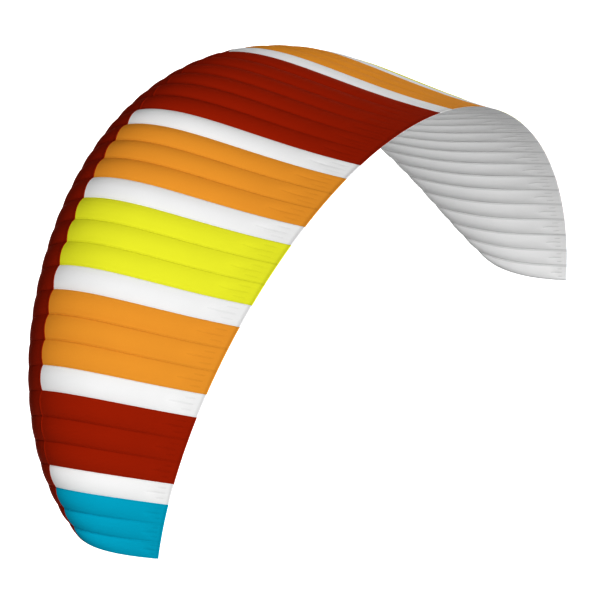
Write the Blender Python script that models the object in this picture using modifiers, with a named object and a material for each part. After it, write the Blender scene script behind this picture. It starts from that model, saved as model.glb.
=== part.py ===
"""Ram-air paraglider wing, arched as it flies: a top sail of swelling cells, a bottom sail and two tip ribs.

+X runs from the nose to the tail, +Y to the right tip and +Z up. The origin is on the bottom sail at the
centre seam, where the middle suspension lines are tied. Every sheet is drawn by its outer side and takes its
thickness inwards.
"""

import math

import bmesh
import bpy
from mathutils import Vector

# Cloth
SHEET = 0.0011          # thickness of a sail's solid
GAP = 0.0003            # clearance between two pieces that are sewn together
NOSE_GAP = 0.0013       # the same outside the nose seam, where the two sheets lean together

# The wing laid flat
SPAN = 11.8
ROOT_CHORD = 2.99
NOSE_SWEEP = 1.07       # how far the nose falls back towards the tip
NOSE_TIP_SWEEP = 0.39   # and how much more in the last cells
LAST_CELLS = 8          # the power of s by which the last cells' own shape sets in
TAIL_SWEEP = 0.77       # how far the tail comes forward towards the tip
TAIL_TIP_RETURN = 0.14  # and how much of that it gives back near the tip
TIP_RAKE = 0.024        # how far the front corner of the tip is cut inboard, by half the span
RAKE_POWER = 12         # the power of s by which it sets in

# Its arch, seen from in front
ARCH_LEAN = math.radians(67.2)    # the sail leans over evenly by this much
TIP_LEAN = math.radians(19.0)     # and by this much more near the tip
TIP_LEAN_POWER = 5                # the power of s by which that sets in
ARCH_STEPS = 48

# Its section
THICKNESS = 0.178       # of the chord, at the centre
TIP_THICKNESS = 0.29
TAIL_TAPER = 1.42       # how quickly the section thins towards the tail
CAMBER = 0.031
CAMBER_TAPER = 3.6
LINES_AT = 0.30         # the origin's place along the centre chord

# Its cells
CELLS = 46
CROWDING = 0.172        # how much narrower the cells get towards the tips
CENTRE_EASE = 0.067     # and how much of that the middle cells give back
BULGE = 0.17            # how far a cell swells out at its middle, by its width
NOSE_REACH = 0.5        # how far round the section from the nose the swell takes to reach that
NOSE_BULGE = 0.2        # the share of it at the nose
INTAKES_EACH_SIDE = 14  # the cells with an air intake, counted out from the centre
TOP_ROWS = 12           # faces of the top sail round the section, at an intake
BOTTOM_ROWS = 5
TOP_LIP = -0.15         # where the top sail stops, round the section, at an intake
BOTTOM_LIP = TOP_LIP - (1 - TOP_LIP) / TOP_ROWS   # a row on, where the bottom sail starts
BOTTOM_PIECES = (3, 4, 4, 4, 4, 4, 4, 4, 4, 4, 4, 3)   # cells in each, from the left tip

# Colours, roughness included
FINISH = {
    "teal": ((0.0, 0.30, 0.46), 0.45),
    "white": ((0.86, 0.86, 0.86), 0.45),
    "dark_red": ((0.29, 0.011, 0.004), 0.45),
    "orange": ((0.90, 0.31, 0.035), 0.45),
    "yellow": ((0.82, 0.84, 0.022), 0.45),
    "pale_grey": ((0.62, 0.62, 0.62), 0.5),
}
# The top sail's colours from a tip to the centre, and how many cells each one covers
BANDS = (
    ("teal", 3), ("white", 1), ("dark_red", 3), ("white", 1), ("orange", 3), ("white", 1),
    ("yellow", 3), ("white", 1), ("orange", 3), ("white", 1), ("dark_red", 3),
)


def peak_scale(rise, fall):
    """What makes x**rise * (1 - x)**fall reach 1 at its highest."""
    x = rise / (rise + fall)
    return 1 / (x**rise * (1 - x)**fall)


HALF_BODY = 0.5 * peak_scale(0.5, TAIL_TAPER)
HALF_CAMBER = peak_scale(1.0, CAMBER_TAPER)


def seam(k):
    """Where seam k crosses the span, from -1 at the left tip to 1 at the right one."""
    u = 2 * k / CELLS - 1
    inboard = 1 - u * u
    return u * (1 + CROWDING * inboard - CENTRE_EASE * inboard**2)


def lean(s):
    """How far the sail has leant over at s."""
    return ARCH_LEAN * s + TIP_LEAN * s**TIP_LEAN_POWER


def arch(s):
    """Sideways and upward place of the sail at s, added up along the arch by the middle of each step."""
    step = s / ARCH_STEPS
    angles = [lean((n + 0.5) * step) for n in range(ARCH_STEPS)]
    length = step * SPAN / 2
    return length * sum(map(math.cos, angles)), -length * sum(map(math.sin, angles))


def section(s, r):
    """Back and upward place on the outline at s, where r runs from 1 at the tail over the top to 0 at the
    nose and on to -1 at the tail below."""
    nose = NOSE_SWEEP * s**2 + NOSE_TIP_SWEEP * s**LAST_CELLS
    chord = ROOT_CHORD - TAIL_SWEEP * s**2 + TAIL_TIP_RETURN * s**4 - nose
    x = r * r
    thickness = THICKNESS + (TIP_THICKNESS - THICKNESS) * s**LAST_CELLS
    body = thickness * HALF_BODY * abs(r) * (1 - x)**TAIL_TAPER * chord
    hem = x * (SHEET + GAP / 2)
    camber = CAMBER * HALF_CAMBER * x * (1 - x)**CAMBER_TAPER * chord
    return Vector((nose + x * chord, camber + math.copysign(body + hem, r)))


def on_wing(s, r, out=0.0, onward=0.0, aside=0.0):
    """The point at s and r, moved out of the sail, onward round the section and aside along the arch."""
    step = 0.001
    way = (section(s, min(r + step, 1)) - section(s, max(r - step, -1))).normalized()
    back, up = section(s, r) + way * onward + Vector((-way.y, way.x)) * out
    across = s * (1 - TIP_RAKE * s**RAKE_POWER * (1 - r * r)**2)
    angle = lean(across)
    y, z = arch(across)
    return Vector((
        back - LINE_POINT.x,
        y + math.sin(angle) * up + math.cos(angle) * aside,
        z + math.cos(angle) * up - math.sin(angle) * aside - LINE_POINT.y,
    ))


LINE_POINT = section(0, -math.sqrt(LINES_AT))


def sail(first, last, start, end, rows, start_gap=0.0):
    """Open sheet over cells first to last - 1, between two places round the section, its faces out.

    Each cell has two faces across it, so that its middle stands out, least at the nose and the tail.
    """
    edge = 0.499
    bm = bmesh.new()
    bmesh.ops.create_grid(bm, x_segments=2 * (last - first), y_segments=rows, size=0.5)
    for v in bm.verts:
        place = first + (v.co.x + 0.5) * (last - first)
        cell = min(round(2 * place) // 2, last - 1)
        left, right = seam(cell), seam(cell + 1)
        width = (right - left) * SPAN / 2
        w = place - cell
        s = left + (right - left) * w
        r = start + (end - start) * (v.co.y + 0.5)
        behind = min(abs(r) / NOSE_REACH, 1)
        share = (NOSE_BULGE + (1 - NOSE_BULGE) * behind**2 * (3 - 2 * behind)) * (1 - r**4)
        swell = BULGE * share * width * 4 * w * (1 - w)
        onward = start_gap if v.co.y < -edge else 0
        aside = GAP / 2 * ((v.co.x < -edge) - (v.co.x > edge))
        v.co = on_wing(s, r, swell, onward, aside)
    bmesh.ops.reverse_faces(bm, faces=bm.faces)
    return bm


def piece(name, bm, colour):
    """The sheet as a solid of its own, with its thickness inwards."""
    mesh = bpy.data.meshes.new(name)
    bm.to_mesh(mesh)
    bm.free()
    mesh.materials.append(material(colour))
    part = bpy.data.objects.new(name, mesh)
    wing.objects.link(part)
    wall = part.modifiers.new("cloth", "SOLIDIFY")
    wall.thickness = SHEET
    wall.offset = -1
    return part


def material(colour):
    name = "sailcloth_" + colour
    made = bpy.data.materials.get(name)
    if made:
        return made
    made = bpy.data.materials.new(name)
    made.use_nodes = True
    shader = made.node_tree.nodes["Principled BSDF"]
    rgb, roughness = FINISH[colour]
    shader.inputs["Base Color"].default_value = (*rgb, 1)
    shader.inputs["Roughness"].default_value = roughness
    shader.inputs["Metallic"].default_value = 0
    return made


def top_sail():
    """One panel for each cell, from the tail over the top and round the nose to its lip."""
    half = [colour for colour, cells in BANDS for _ in range(cells)]
    for k, colour in enumerate(half + half[::-1]):
        from_centre = abs(k + 0.5 - CELLS / 2)
        is_open = from_centre < INTAKES_EACH_SIDE
        if is_open:
            bm = sail(k, k + 1, TOP_LIP, 1, TOP_ROWS)
        else:
            bm = sail(k, k + 1, BOTTOM_LIP, 1, TOP_ROWS + 1, NOSE_GAP)
        piece(f"top_panel_{k + 1:02d}", bm, colour)


def bottom_sail():
    """Pieces of three or four cells each, from the bottom lip back to the tail."""
    first = 0
    for n, cells in enumerate(BOTTOM_PIECES):
        bm = sail(first, first + cells, -1, BOTTOM_LIP, BOTTOM_ROWS)
        piece(f"bottom_panel_{n + 1:02d}", bm, "pale_grey")
        first += cells


def tip_rib(name, side):
    """Flat rib that closes the last cell, just outside the ends of both sails."""
    rows = [1 - n * (1 - TOP_LIP) / TOP_ROWS for n in range(TOP_ROWS + 2)]
    rows += [BOTTOM_LIP - n * (1 + BOTTOM_LIP) / BOTTOM_ROWS for n in range(1, BOTTOM_ROWS + 1)]
    bm = bmesh.new()
    face = bm.faces.new([bm.verts.new(on_wing(side, r, aside=side * (GAP + SHEET))) for r in rows])
    face.normal_update()
    if face.normal.z > 0:
        face.normal_flip()
    bmesh.ops.triangulate(bm, faces=[face])
    piece(name, bm, "white")


for old in list(bpy.data.objects):
    bpy.data.objects.remove(old)
wing = bpy.data.collections.new("paraglider_wing")
bpy.context.scene.collection.children.link(wing)

top_sail()
bottom_sail()
tip_rib("tip_rib_left", -1)
tip_rib("tip_rib_right", 1)
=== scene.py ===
"""Paraglider wing in flight: its ribs, the two sails sewn round them, the nose strip, the tips and the light.

Lengths are in metres. A place on the sail is given by s, which runs from -1 at the left tip to 1 at the
right, and by r, which runs round the section from 1 at the tail over the top to 0 at the nose and on to -1 at
the tail below. The square of r is the share of the chord.
"""

import math
from functools import lru_cache

import bmesh
import bpy
from mathutils import Matrix, Vector


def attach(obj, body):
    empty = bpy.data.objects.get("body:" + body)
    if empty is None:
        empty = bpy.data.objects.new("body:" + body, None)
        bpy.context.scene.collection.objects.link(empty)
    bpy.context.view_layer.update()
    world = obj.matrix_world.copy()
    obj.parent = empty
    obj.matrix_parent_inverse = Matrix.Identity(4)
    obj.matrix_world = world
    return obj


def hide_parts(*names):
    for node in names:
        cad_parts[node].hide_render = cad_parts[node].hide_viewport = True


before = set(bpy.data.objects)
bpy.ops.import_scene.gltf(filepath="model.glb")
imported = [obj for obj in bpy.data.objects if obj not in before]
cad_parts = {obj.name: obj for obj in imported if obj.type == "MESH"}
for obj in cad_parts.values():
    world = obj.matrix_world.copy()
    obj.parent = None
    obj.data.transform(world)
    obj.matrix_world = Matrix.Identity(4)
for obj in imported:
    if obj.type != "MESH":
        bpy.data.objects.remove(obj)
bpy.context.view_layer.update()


# Ribs. Each is an airfoil of firm, glazed cloth that stands between two cells, with both sails sewn round its
# edge. The ribs give the wing its section, and the row of them its sweep and its arch. Oval ports let the air
# pass from cell to cell.
span = 11.8              # laid flat
root_chord = 2.99
nose_sweep, nose_tip_sweep = 1.07, 0.39
tail_sweep, tail_tip_return = 0.77, 0.14
tip_rake, rake_power = 0.024, 12
arch_lean, tip_lean, tip_lean_power = math.radians(67.2), math.radians(19.0), 5
thickness, tip_thickness, tail_taper = 0.178, 0.29, 1.42
tail_wedge = 0.15        # the share of the chord at the tail over which the section is nearly a plain wedge
camber, camber_taper = 0.031, 3.6
last_cells = 8           # the power by which the last cells' own shape sets in
cells = sum(name.startswith("top_panel_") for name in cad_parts)
crowding, centre_ease = 0.172, 0.067
sheet = 0.0011
sewn_gap = 0.0003
line_back, line_up = 0.30 * root_chord, -0.1789    # from the nose to the origin, where the lines are tied


def peak_scale(rise, fall):
    """What x**rise * (1 - x)**fall is multiplied by to be 1 at its highest."""
    x = rise / (rise + fall)
    return 1 / (x**rise * (1 - x)**fall)


half_body = 0.5 * peak_scale(0.5, tail_taper)
half_camber = peak_scale(1.0, camber_taper)


def seam(k):
    """Where seam k crosses the span, from -1 at the left tip to 1 at the right one."""
    u = 2 * k / cells - 1
    inboard = 1 - u * u
    return u * (1 + crowding * inboard - centre_ease * inboard**2)


def lean(s):
    """The angle by which the sail leans sideways at s."""
    return arch_lean * s + tip_lean * s**tip_lean_power


@lru_cache(maxsize=None)
def arch(s, steps=48):
    """Sideways and upward place of the sail at s, and the lean there as its sine and cosine."""
    angles = [lean((n + 0.5) * s / steps) for n in range(steps)]
    length = s / steps * span / 2
    return (length * sum(map(math.cos, angles)), -length * sum(map(math.sin, angles)),
            math.sin(lean(s)), math.cos(lean(s)))


def chord_at(s):
    """Where the nose is, and how long the chord is behind it."""
    nose = nose_sweep * s**2 + nose_tip_sweep * s**last_cells
    return nose, root_chord - tail_sweep * s**2 + tail_tip_return * s**4 - nose


def section(s, r):
    """Back and upward place on the outline at s and r."""
    nose, chord = chord_at(s)
    x = r * r
    height = thickness + (tip_thickness - thickness) * s**last_cells
    taper = (1 - x) * (((1 - x)**2 + tail_wedge**2) / (1 + tail_wedge**2))**((tail_taper - 1) / 2)
    body = height * half_body * abs(r) * taper * chord
    hem = x * (sheet + sewn_gap / 2)
    line = camber * half_camber * x * (1 - x)**camber_taper * chord
    return Vector((nose + x * chord, line + math.copysign(body + hem, r)))


def stand(s, x, back, up, aside=0.0):
    """A point of the section at s, stood up in the wing."""
    y, z, sine, cosine = arch(s * (1 - tip_rake * s**rake_power * (1 - x)**2))
    return Vector((back - line_back, y + sine * up + cosine * aside,
                   z + cosine * up - sine * aside - line_up))


def directions(s, r, near=0.001):
    """The way round the section at s and r, towards greater r, and the way out of it."""
    way = (section(s, min(r + near, 1)) - section(s, max(r - near, -1))).normalized()
    return way, Vector((-way.y, way.x))


def on_wing(s, r, out, onward):
    """The point at s and r, moved out of the sail and onward round the section."""
    way, outward = directions(s, r)
    back, up = section(s, r) + way * onward + outward * out
    return stand(s, r * r, back, up)


thread_grid = 0.006      # from one thicker thread of the cloth to the next
thread_width = 0.07      # by the grid
thread_height = 0.0004
allowance_and_shade = (0.014, 0.018)    # from a seam to the turned-in edge, and to where its darker tone ends: double cloth and painted shade
stitch_rows = (0.009, 0.0035, 0.0008)    # from a seam to between its two rows, on to a row, and half a row
stitch_length = 0.005
stitch_gap = 0.3         # the share of it between two stitches
stitch_rise = 2.0        # how high it stands, by the height of a thread
thread_tone, stitch_tone = 0.05, 0.12    # how much darker they are than the cloth
patch_tone, patch_gloss = 0.06, 0.12     # how much the coating varies from patch to patch


def sailcloth(name, rgb, doubled_and_shade_tone=0.97, roughness=0.72):
    """Ripstop nylon: a fine grid of thicker threads in a coated, slightly uneven cloth. Along its seams it is
    double over the turned-in edge, with two rows of thread, and darker: partly for the double cloth, partly
    as painted shade of the crease at the seam. Its maps are in metres: the cloth's own, and the way to the
    nearest seam."""
    made = bpy.data.materials.new(name)
    made.use_nodes = True
    nodes, links = made.node_tree.nodes, made.node_tree.links
    shader = nodes["Principled BSDF"]
    shader.inputs["Metallic"].default_value = 0
    shader.inputs["Specular IOR Level"].default_value = 0.03
    cloth = nodes.new("ShaderNodeUVMap")
    cloth.uv_map = "cloth"

    def math_node(operation, *values):
        node = nodes.new("ShaderNodeMath")
        node.operation = operation
        for n, value in enumerate(values):
            if isinstance(value, (int, float)):
                node.inputs[n].default_value = value
            else:
                links.new(value, node.inputs[n])
        return node.outputs[0]

    def fade(value, start, end, low, high):
        node = nodes.new("ShaderNodeMapRange")
        for socket, amount in (("From Min", start), ("From Max", end), ("To Min", low), ("To Max", high)):
            node.inputs[socket].default_value = amount
        links.new(value, node.inputs["Value"])
        return node.outputs["Result"]

    ripstop = nodes.new("ShaderNodeTexBrick")
    ripstop.offset = 0
    for socket, value in (("Scale", 1 / thread_grid), ("Brick Width", 1), ("Row Height", 1),
                          ("Mortar Size", thread_width), ("Mortar Smooth", 0.5), ("Bias", 0)):
        ripstop.inputs[socket].default_value = value
    links.new(cloth.outputs["UV"], ripstop.inputs["Vector"])

    mottle = nodes.new("ShaderNodeTexNoise")
    mottle.inputs["Scale"].default_value = 2.3
    mottle.inputs["Detail"].default_value = 4
    links.new(cloth.outputs["UV"], mottle.inputs["Vector"])

    to_seam = nodes.new("ShaderNodeAttribute")
    to_seam.attribute_name = "seam"
    # Darker beside each seam: partly the double cloth, partly painted shade of the crease there.
    doubled_and_shade = fade(to_seam.outputs["Fac"], *allowance_and_shade, doubled_and_shade_tone, 1.0)
    along = nodes.new("ShaderNodeSeparateXYZ")
    links.new(cloth.outputs["UV"], along.inputs["Vector"])
    middle, from_middle, half_width = stitch_rows
    from_rows = math_node("ABSOLUTE", math_node("SUBTRACT", to_seam.outputs["Fac"], middle))
    row = math_node("COMPARE", from_rows, from_middle, half_width)
    stitches = math_node("FRACT", math_node("MULTIPLY", along.outputs["Y"], 1 / stitch_length))
    stitch = math_node("MULTIPLY", row, math_node("GREATER_THAN", stitches, stitch_gap))

    threads = math_node("MULTIPLY_ADD", ripstop.outputs["Fac"], -thread_tone, 1.0)
    patches = math_node("MULTIPLY_ADD", mottle.outputs["Fac"], patch_tone, 1 - patch_tone / 2)
    sewn = math_node("MULTIPLY_ADD", stitch, -stitch_tone, 1.0)
    tone = math_node("MULTIPLY", threads, patches)
    for share in (doubled_and_shade, sewn):
        tone = math_node("MULTIPLY", tone, share)
    colour = nodes.new("ShaderNodeMix")
    colour.data_type = "RGBA"
    colour.blend_type = "MULTIPLY"
    colour.inputs["Factor"].default_value = 1
    colour.inputs["A"].default_value = (*rgb, 1)
    links.new(tone, colour.inputs["B"])
    links.new(colour.outputs["Result"], shader.inputs["Base Color"])

    gloss = math_node("MULTIPLY_ADD", mottle.outputs["Fac"], patch_gloss, roughness - patch_gloss / 2)
    links.new(gloss, shader.inputs["Roughness"])

    relief = nodes.new("ShaderNodeBump")
    relief.inputs["Strength"].default_value = 0.25
    relief.inputs["Distance"].default_value = thread_height
    height = math_node("ADD", ripstop.outputs["Fac"], math_node("MULTIPLY", stitch, stitch_rise))
    links.new(height, relief.inputs["Height"])
    links.new(relief.outputs["Normal"], shader.inputs["Normal"])
    return made


def sewn_piece(name, mesh, material, wall=sheet, offset=-1.0):
    """The cloth as a piece that rides with the wing, with its thickness inwards if nothing else is said."""
    mesh.materials.append(material)
    piece = bpy.data.objects.new(name, mesh)
    bpy.context.scene.collection.objects.link(piece)
    thick = piece.modifiers.new("cloth", "SOLIDIFY")
    thick.thickness = wall
    thick.offset = offset
    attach(piece, "root")
    return piece


rib_wall = 0.0006
rib_inset = 0.006        # how far a rib stays inside the sails
rib_end = 0.985          # by r: it ends just before the tail
rib_steps = 96           # round its edge
port_places = (0.13, 0.24, 0.36, 0.48, 0.60, 0.71)    # along the chord
port_length = 0.040      # half of it, by the chord
port_height = 0.29       # half of it, by the height of the rib there
port_steps = 28
no_seam = 0.1            # marks cloth that is far from any seam


def rib_mesh(name, s, ports, inset, aside=0.0):
    """A flat airfoil with its ports cut out, stood up at s."""
    flat = bpy.data.curves.new(name, "CURVE")
    flat.dimensions = "2D"
    flat.fill_mode = "BOTH"
    nose, chord = chord_at(s)

    def loop(points):
        spline = flat.splines.new("POLY")
        spline.points.add(len(points) - 1)
        for point, (back, up) in zip(spline.points, points):
            point.co = (back, up, 0, 1)
        spline.use_cyclic_u = True

    places = [rib_end * (1 - 2 * n / rib_steps) for n in range(rib_steps + 1)]
    loop([section(s, r) - directions(s, r)[1] * inset for r in places])
    turns = [2 * math.pi * n / port_steps for n in range(port_steps)]
    for x in ports:
        top, bottom = section(s, math.sqrt(x)), section(s, -math.sqrt(x))
        middle, half = (top + bottom) / 2, (top.y - bottom.y) * port_height
        loop([(middle.x + math.cos(t) * port_length * chord, middle.y + math.sin(t) * half) for t in turns])
    pattern = bpy.data.objects.new(name, flat)
    mesh = bpy.data.meshes.new_from_object(pattern)
    bpy.data.objects.remove(pattern)
    bpy.data.curves.remove(flat)
    mesh.name = name
    cloth = mesh.uv_layers.new(name="cloth")
    for corner in mesh.loops:
        cloth.uv[corner.index].vector = mesh.vertices[corner.vertex_index].co.xy
    distance = mesh.attributes.new("seam", "FLOAT", "POINT")
    for v in mesh.vertices:
        distance.data[v.index].value = no_seam
        v.co = stand(s, (v.co.x - nose) / chord, v.co.x, v.co.y, aside)
    return mesh


rib_cloth = sailcloth("rib_cloth", (0.80, 0.80, 0.80))
for k in range(1, cells):
    mesh = rib_mesh(f"rib_{k:02d}", seam(k), port_places, rib_inset)
    rib = sewn_piece(f"rib_{k:02d}", mesh, rib_cloth, rib_wall, 0)
    nose, chord = chord_at(seam(k))


# Bottom sail. Plain pale cloth from the lip under the nose back to the tail, one panel to a cell, with the
# seams turned in over the ribs. Near the tail, mini ribs tie it to the top sail along the middle and the
# quarters of each cell, and their seams show. Its front edge is turned in as a lip.
top_bulge, bottom_bulge, nose_bulge = 0.14, 0.21, 0.018    # how far a cell stands out, by its width
reach_above, reach_below = 0.45, 0.80    # how far round the section from the nose the swell takes to be full
on_line = 0.001          # this near to a seam, by the cell's width, is on it
seam_depth, mini_depth = 0.0006, 0.003    # how far the cloth dives into a rib's seam, and into a mini rib's
seam_reach = 0.007       # from this far beside it
seam_hidden = 0.03       # added to the way to a seam, it hides the seam's tone and its thread
hidden_reach = 0.3       # by r: so far round from the nose, a seam is drawn too tight to show
mini_ribs = ((2, 0.80, 0.09), (4, 0.88, 0.06))    # bays they part a cell into, where they start, how slowly
mini_start = 1 / 3       # how soon their seams show, by how slowly they start
mini_end = (0.94, 0.05)  # where their seams end, and how slowly
mini_seam_above, mini_seam_below = 0.007, 0.011    # how much narrower their seams are than the ribs'
bottom_lip = -0.2458
bottom_pieces = (3, 4, 4, 4, 4, 4, 4, 4, 4, 4, 4, 3)    # cells in each
tail_rows = (-1.0, -0.996)
even_start, even_end, even_rows = -0.99, -0.5, 40    # where the rows lie evenly along the chord
front_rows = 10          # from there to the lip
lip_hem, lip_turn, lip_bead = 0.012, 0.002, 0.0005    # its depth, how far its edge turns in, and its rise


def ease(x, start, length):
    """0 up to the start, 1 from a length further on, and smooth between the two."""
    t = max(0.0, min(1.0, (x - start) / length))
    return t * t * (3 - 2 * t)


def bay(w, count):
    """How far a cell stands out at w if it is parted into this many bays: 1 in the middle of a whole cell."""
    f = w * count % 1
    return 4 * f * (1 - f) / count


def swell(r):
    """How far a cell stands out at r, by its width: it grows with the way from the nose, and sooner above."""
    full, reach = (top_bulge, reach_above) if r > 0 else (bottom_bulge, reach_below)
    return nose_bulge + (full - nose_bulge) * ease(abs(r), 0, reach)


def stand_out(width, w, r):
    """How far the cloth stands out of the ribs' outline at w across a cell and r round the section. It comes
    back to it at the tail."""
    x = r * r
    out = bay(w, 1)
    sunk = 0.0
    for count, start, length in mini_ribs:
        tied = ease(x, start, length)
        out += (bay(w, count) - out) * tied
        if abs(w * count - round(w * count)) < on_line:
            sunk = max(sunk, mini_depth * tied)
    if min(w, 1 - w) < on_line:
        sunk = seam_depth
    return swell(r) * width * out * (1 - x * x) - sunk * (1 - x**8)


def places_across(first, last):
    """The cell and the share across it of every column of a sheet over some cells, close beside each seam."""
    places = []
    for k in range(first, last):
        beside = seam_reach / ((seam(k + 1) - seam(k)) * span / 2)
        for start in (0, 1 / 4, 2 / 4, 3 / 4):
            places += [(k, start + step) for step in (0, beside, 1 / 12, 2 / 12, 1 / 4 - beside)]
    return places + [(last - 1, 1.0)]


def to_nearest_seam(width, w, r):
    """How far the cloth at w across a cell and r round the section lies from what shows as a seam."""
    away = [min(w, 1 - w) * width + seam_hidden * (1 - ease(abs(r), 0, hidden_reach))]
    narrower = mini_seam_above if r > 0 else mini_seam_below
    for count, start, length in mini_ribs:
        beside = abs(w * count - round(w * count)) / count * width
        hidden = 1 - ease(r * r, start, length * mini_start) + ease(r * r, *mini_end)
        away.append(beside + narrower + seam_hidden * hidden)
    return min(away)


def cut_sail(name, first, last, rows):
    """Sheet over some cells, creased at its seams, and the size it is cut to. rows give r, and how far each
    is moved on and out."""
    across = places_across(first, last)
    bm = bmesh.new()
    bmesh.ops.create_grid(bm, x_segments=len(across) - 1, y_segments=len(rows) - 1, size=0.5)
    cloth = bm.loops.layers.uv.new("cloth")
    distance = bm.verts.layers.float.new("seam")
    place = {}
    for v in bm.verts:
        i = round((v.co.x + 0.5) * (len(across) - 1))
        j = round((v.co.y + 0.5) * (len(rows) - 1))
        k, w = across[i]
        left, right = seam(k), seam(k + 1)
        width = (right - left) * span / 2
        r, onward, out = rows[j]
        v[distance] = to_nearest_seam(width, w, r)
        v.co = on_wing(left + (right - left) * w, r, stand_out(width, w, r) + out, onward)
        place[v] = i, j
    at = {place[v]: v.co for v in bm.verts}
    columns, steps, middle = range(len(across)), range(len(rows)), len(across) // 2
    run = [0.0]
    for j in steps[1:]:
        run.append(run[-1] + (at[middle, j] - at[middle, j - 1]).length)
    widest = max(sum((at[i, j] - at[i - 1, j]).length for i in columns[1:]) for j in steps)
    longest = max(sum((at[i, j] - at[i, j - 1]).length for j in steps[1:]) for i in columns)
    for face in bm.faces:
        for corner in face.loops:
            i, j = place[corner.vert]
            corner[cloth].uv = (flat_place(across[i]), run[j])
        face.smooth = True
    for edge in bm.edges:
        edge.smooth = any(across[place[v][0]][1] != 0 for v in edge.verts)
    bmesh.ops.reverse_faces(bm, faces=bm.faces)
    area = sum(face.calc_area() for face in bm.faces)
    mesh = bpy.data.meshes.new(name)
    bm.to_mesh(mesh)
    bm.free()
    return mesh, {"flat": (widest, longest), "area": area}


def flat_place(column):
    """How far to the right of the middle a column lies when the sail is laid flat."""
    k, w = column
    return (seam(k) + (seam(k + 1) - seam(k)) * w) * span / 2


def rows_between(start, end, count):
    """Rows of r from one place to another, evenly by the share of the chord."""
    a, b = start * abs(start), end * abs(end)
    places = [a + (b - a) * n / count for n in range(count + 1)]
    return [(math.copysign(math.sqrt(abs(x)), x), 0.0, 0.0) for x in places]


# Its seams are darker than the top sail's: partly the double cloth, partly painted shade of the crease.
pale_grey = sailcloth("bottom_sailcloth", (0.835, 0.835, 0.835), 0.86)
rows = [(r, 0.0, 0.0) for r in tail_rows] + rows_between(even_start, even_end, even_rows)
rows += [(even_end + (bottom_lip - even_end) * m / front_rows, 0.0, 0.0) for m in range(1, front_rows)]
rows += [(bottom_lip, -lip_hem, 0.0), (bottom_lip, -lip_turn, lip_bead), (bottom_lip, 0.0, -lip_turn)]
first = 0
for n, count in enumerate(bottom_pieces):
    last = first + count
    mesh, cut = cut_sail(f"bottom_sail_{n + 1:02d}", first, last, rows)
    panel = sewn_piece(f"bottom_sail_{n + 1:02d}", mesh, pale_grey)
    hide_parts(f"bottom_panel_{n + 1:02d}")
    first = last


# Top sail. One panel of coloured cloth to a cell, from the nose strip back to the tail, in bands of like
# cells that mirror each other across the middle. The tail is turned over in a narrow hem.
strip_end = 0.36         # where the nose strip ends on top: r, so about an eighth of the chord
overlap = 0.014          # how far a panel goes on under the strip
panel_rows = 58
hem_width, hem_rise = 0.016, 0.0008
hem_step, hem_round = 0.0015, 0.001    # the ways on which the hem rises, and turns down at the tail
band_colours = {
    "teal": (0.002, 0.39, 0.543),
    "white": (0.86, 0.86, 0.86),
    "dark_red": (0.355, 0.029, 0.0045),
    "orange": (0.80, 0.355, 0.054),
    "yellow": (0.80, 0.81, 0.051),
}
bands = (
    ("teal", 3), ("white", 1), ("dark_red", 3), ("white", 1), ("orange", 3), ("white", 1),
    ("yellow", 3), ("white", 1), ("orange", 3), ("white", 1), ("dark_red", 3),
)
band_cloth = {colour: sailcloth(colour + "_sailcloth", rgb) for colour, rgb in band_colours.items()}
half = [colour for colour, count in bands for _ in range(count)]
top_colours = half + half[::-1]
for k, colour in enumerate(top_colours):
    nose, chord = chord_at((seam(k) + seam(k + 1)) / 2)
    hem_start = math.sqrt(1 - hem_width / chord)
    rows = [(strip_end, -overlap, 0.0)] + rows_between(strip_end, hem_start, panel_rows)
    rows += [(hem_start, hem_step, hem_rise), (1.0, -hem_round, hem_rise), (1.0, 0.0, 0.0)]
    mesh, cut = cut_sail(f"top_sail_{k + 1:02d}", k, k + 1, rows)
    panel = sewn_piece(f"top_sail_{k + 1:02d}", mesh, band_cloth[colour])
    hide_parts(f"top_panel_{k + 1:02d}")


# Nose strip and lips. A strip of dark red cloth to a cell is sewn over the front edge of the top panel and
# carried down over the nose. Below it a lip of the bottom sail's cloth goes on: in the middle cells to a
# turned edge in front of the air intake, in the outer ones to the bottom sail, which it is sewn to.
intakes_each_side = 14
strip_front = -0.055
strip_rows = 14
strip_edge = 0.001       # how far its front edge reaches on
lap, lap_step = 0.0013, 0.003    # how far it stands out over another cloth, and the way on which it climbs
top_lip = -0.15
lip_rows = 5
lip_step, lip_rise = 0.003, 0.0006    # how far behind its edge it is thickest, and its rise there
tuck = 0.012             # how far the lip goes on under the strip, by r
nose_gap = 0.0013        # between the lip and the bottom sail
nose_cloth = sailcloth("nose_sailcloth", band_colours["dark_red"])
round_nose = [strip_front + (strip_end - strip_front) * m / strip_rows for m in range(1, strip_rows)]
rows = [(strip_front, -strip_edge, lap), (strip_front, lap_step, lap), (round_nose[0], 0.0, lap)]
rows += [(r, 0.0, 0.0) for r in round_nose[1:]]
rows += [(strip_end, -overlap - lap_step, 0.0), (strip_end, -overlap, lap), (strip_end, 0.0, lap)]
for k in range(cells):
    mesh, cut = cut_sail(f"nose_strip_{k + 1:02d}", k, k + 1, rows)
    strip = sewn_piece(f"nose_strip_{k + 1:02d}", mesh, nose_cloth)

    is_open = abs(k + 0.5 - cells / 2) < intakes_each_side
    end = top_lip if is_open else bottom_lip
    below = [(end, 0.0, -lip_turn) if is_open else (end, nose_gap, 0.0), (end, lip_step, lip_rise)]
    below += [(end + (strip_front - end) * m / lip_rows, 0.0, 0.0) for m in range(1, lip_rows)]
    below += [(strip_front, 0.0, 0.0), (strip_front + tuck, 0.0, 0.0)]
    mesh, cut = cut_sail(f"nose_lip_{k + 1:02d}", k, k + 1, below)
    lip = sewn_piece(f"nose_lip_{k + 1:02d}", mesh, pale_grey)


# Tip ribs. Each is an airfoil of the top sail's white cloth, without ports. It is sewn in round its edge and
# closes the last cell.
for name, side in (("tip_rib_left", -1), ("tip_rib_right", 1)):
    mesh = rib_mesh(name + "_cloth", side, (), 0.0, side * (sewn_gap + sheet))
    tip = sewn_piece(name + "_cloth", mesh, band_cloth["white"], sheet, -side)
    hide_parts(name)


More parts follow.
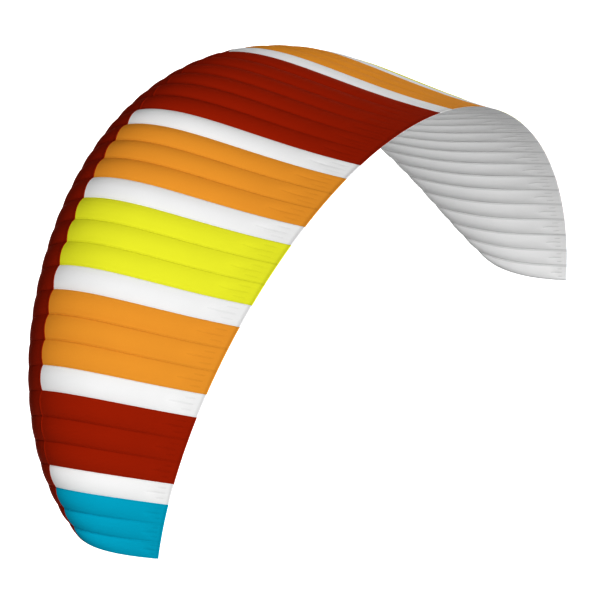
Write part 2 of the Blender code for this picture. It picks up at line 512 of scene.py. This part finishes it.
# Floor. The wing flies high over it, and it is so pale that it goes over into the air behind.
floor_depth, floor_size = 20.0, 600.0
bpy.ops.mesh.primitive_plane_add(size=floor_size, location=(0, 0, -floor_depth))
floor = bpy.context.object
floor.name = "floor"
floor.visible_diffuse = False
floor.visible_shadow = False
pale = bpy.data.materials.new("pale_floor")
pale.use_nodes = True
paint = pale.node_tree.nodes["Principled BSDF"]
paint.inputs["Base Color"].default_value = (0.9, 0.9, 0.9, 1)
paint.inputs["Roughness"].default_value = 1
paint.inputs["Emission Color"].default_value = (1, 1, 1, 1)
paint.inputs["Emission Strength"].default_value = 0.6
floor.data.materials.append(pale)


# Light. The air behind the wing is as pale as the floor, but gives only a faint light from all round. Soft
# lamps far away give the rest.
air_glow, air_seen = 0.09, 0.9
lamp_size = math.radians(25)
lamps = (                # name, strength, and where from: degrees from the left round the tail, and up
    ("key", 1.95, 50, 12),
    ("high", 0.90, 80, 60),
    ("low", 0.45, 300, -30),
    ("right", 0.90, 180, 0),
    ("front", 0.80, 225, -25),
)
sky = bpy.data.worlds.new("soft_light")
bpy.context.scene.world = sky
sky.use_nodes = True
air = sky.node_tree.nodes["Background"]
air.inputs["Color"].default_value = (1, 1, 1, 1)
seen = sky.node_tree.nodes.new("ShaderNodeLightPath")
brightness = sky.node_tree.nodes.new("ShaderNodeMapRange")
brightness.inputs["To Min"].default_value = air_glow
brightness.inputs["To Max"].default_value = air_seen
sky.node_tree.links.new(seen.outputs["Is Camera Ray"], brightness.inputs["Value"])
sky.node_tree.links.new(brightness.outputs["Result"], air.inputs["Strength"])

for name, strength, azimuth, elevation in lamps:
    lamp = bpy.data.lights.new(name, "SUN")
    lamp.energy = strength
    lamp.angle = lamp_size
    light = bpy.data.objects.new(name, lamp)
    turn, lift = math.radians(azimuth), math.radians(elevation)
    towards = Vector((math.sin(turn) * math.cos(lift), -math.cos(turn) * math.cos(lift), math.sin(lift)))
    light.rotation_euler = towards.to_track_quat("Z", "Y").to_euler()
    bpy.context.scene.collection.objects.link(light)


# Camera. It looks from far off with a long lens, from the left, behind and above, and leans a little.
view_yaw, view_pitch, view_roll = math.radians(30.626), math.radians(20.203), math.radians(-3.508)
view_from = Vector((91.306, -152.958, 63.569))
focal_length, sensor_width = 1092, 36    # in millimetres
ahead = Vector((-math.sin(view_yaw) * math.cos(view_pitch), math.cos(view_yaw) * math.cos(view_pitch),
                -math.sin(view_pitch)))
level = Vector((math.cos(view_yaw), math.sin(view_yaw), 0))
upright = level.cross(ahead)
right = math.cos(view_roll) * level + math.sin(view_roll) * upright
up = -math.sin(view_roll) * level + math.cos(view_roll) * upright
lens = bpy.data.cameras.new("camera")
lens.sensor_width = sensor_width
lens.lens = focal_length
lens.clip_end = 2000
camera = bpy.data.objects.new("camera", lens)
camera.matrix_world = Matrix((right, up, -ahead)).transposed().to_4x4()
camera.location = view_from
bpy.context.scene.collection.objects.link(camera)
bpy.context.scene.camera = camera
bpy.context.scene.view_settings.view_transform = "Standard"
bpy.context.scene.view_settings.look = "High Contrast"
